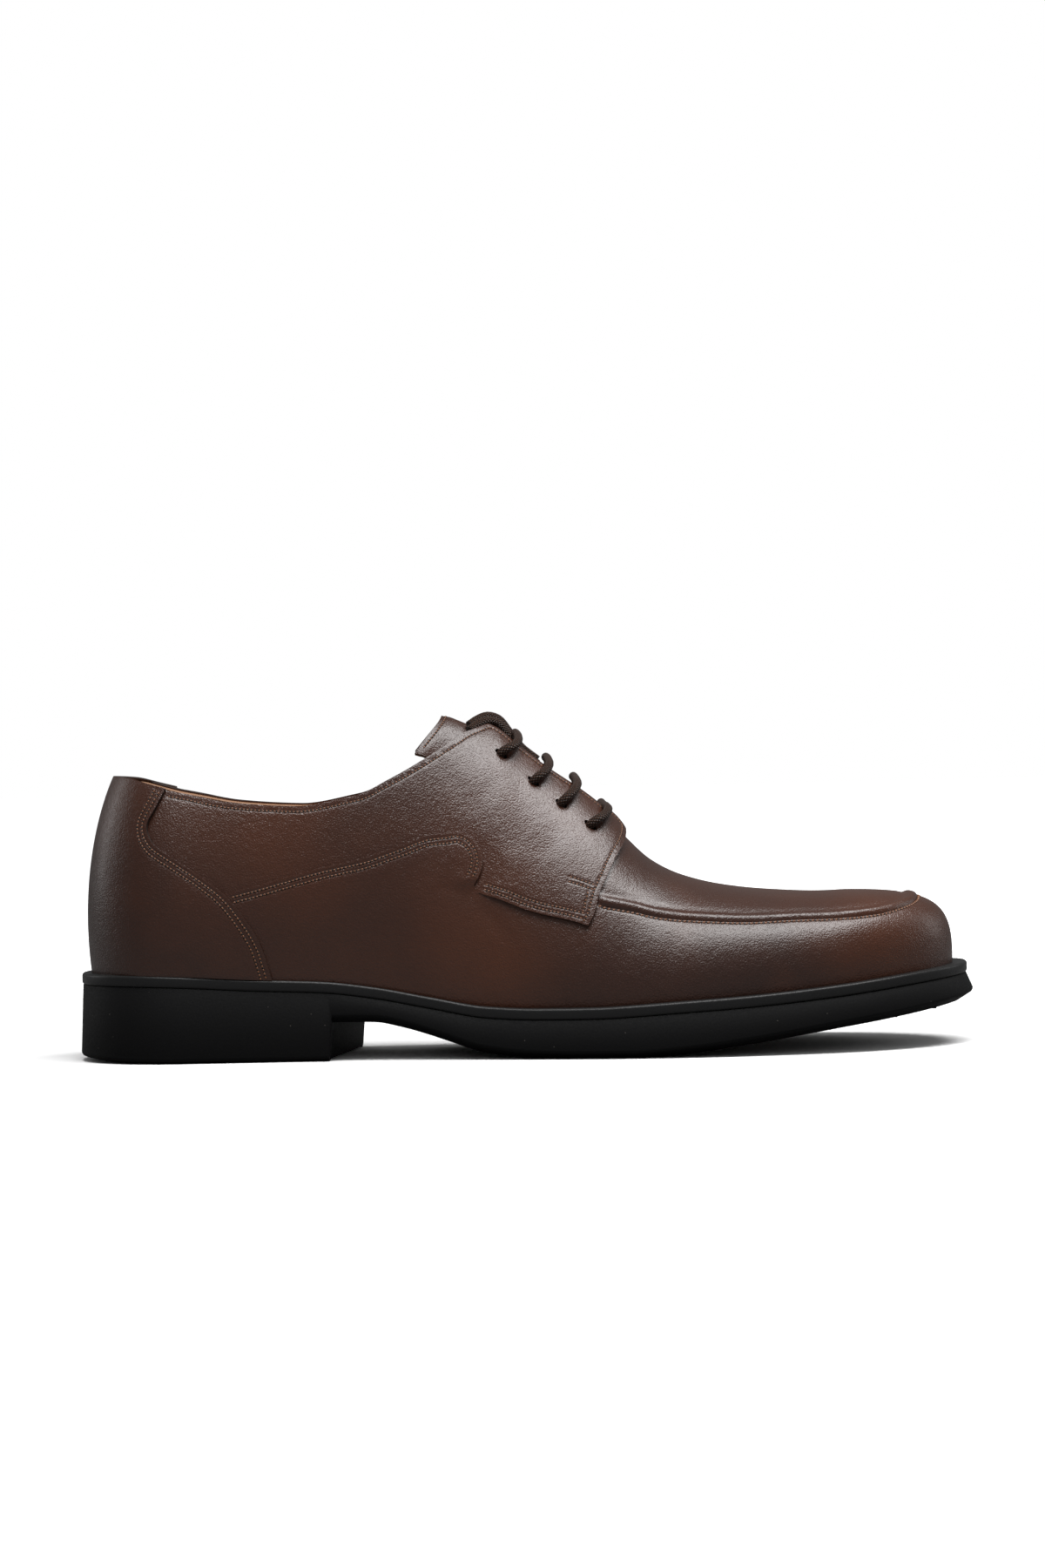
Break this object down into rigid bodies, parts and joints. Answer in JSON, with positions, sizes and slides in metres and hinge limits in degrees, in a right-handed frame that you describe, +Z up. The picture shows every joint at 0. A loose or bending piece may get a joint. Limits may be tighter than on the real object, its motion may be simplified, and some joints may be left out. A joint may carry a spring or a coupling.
{
  "type": "derby shoe",
  "caption": "Lace-up dress shoe with a raised apron seam round the toe, facings stitched over the vamp, a wrapped heel counter and a moulded sole with a low heel.",
  "frame": {"origin": "middle of the sole's outline, on the floor", "axes": "+X towards the toe, +Y towards the inner side of the foot, +Z up"},
  "size_m": [0.3054, 0.1074, 0.116],
  "materials": {
    "brown_calf": "polished",
    "tan_lining": "matt",
    "black_rubber": "matt",
    "black_band": "satin",
    "waxed_cord": "waxed"
  },
  "bodies": {
    "root": {"outsole": "black_rubber", "midsole": "black_band", "insole": "tan_lining", "upper": "tan_lining", "counter": "brown_calf", "quarter_outer": "brown_calf", "quarter_inner": "brown_calf", "vamp": "brown_calf", "apron": "brown_calf", "tongue": "brown_calf", "lace_bar_1": "waxed_cord", "lace_bar_2": "waxed_cord", "lace_bar_3": "waxed_cord", "lace_bar_4": "waxed_cord", "lace_end_1": "waxed_cord", "lace_end_2": "waxed_cord"}
  },
  "joints": []
}
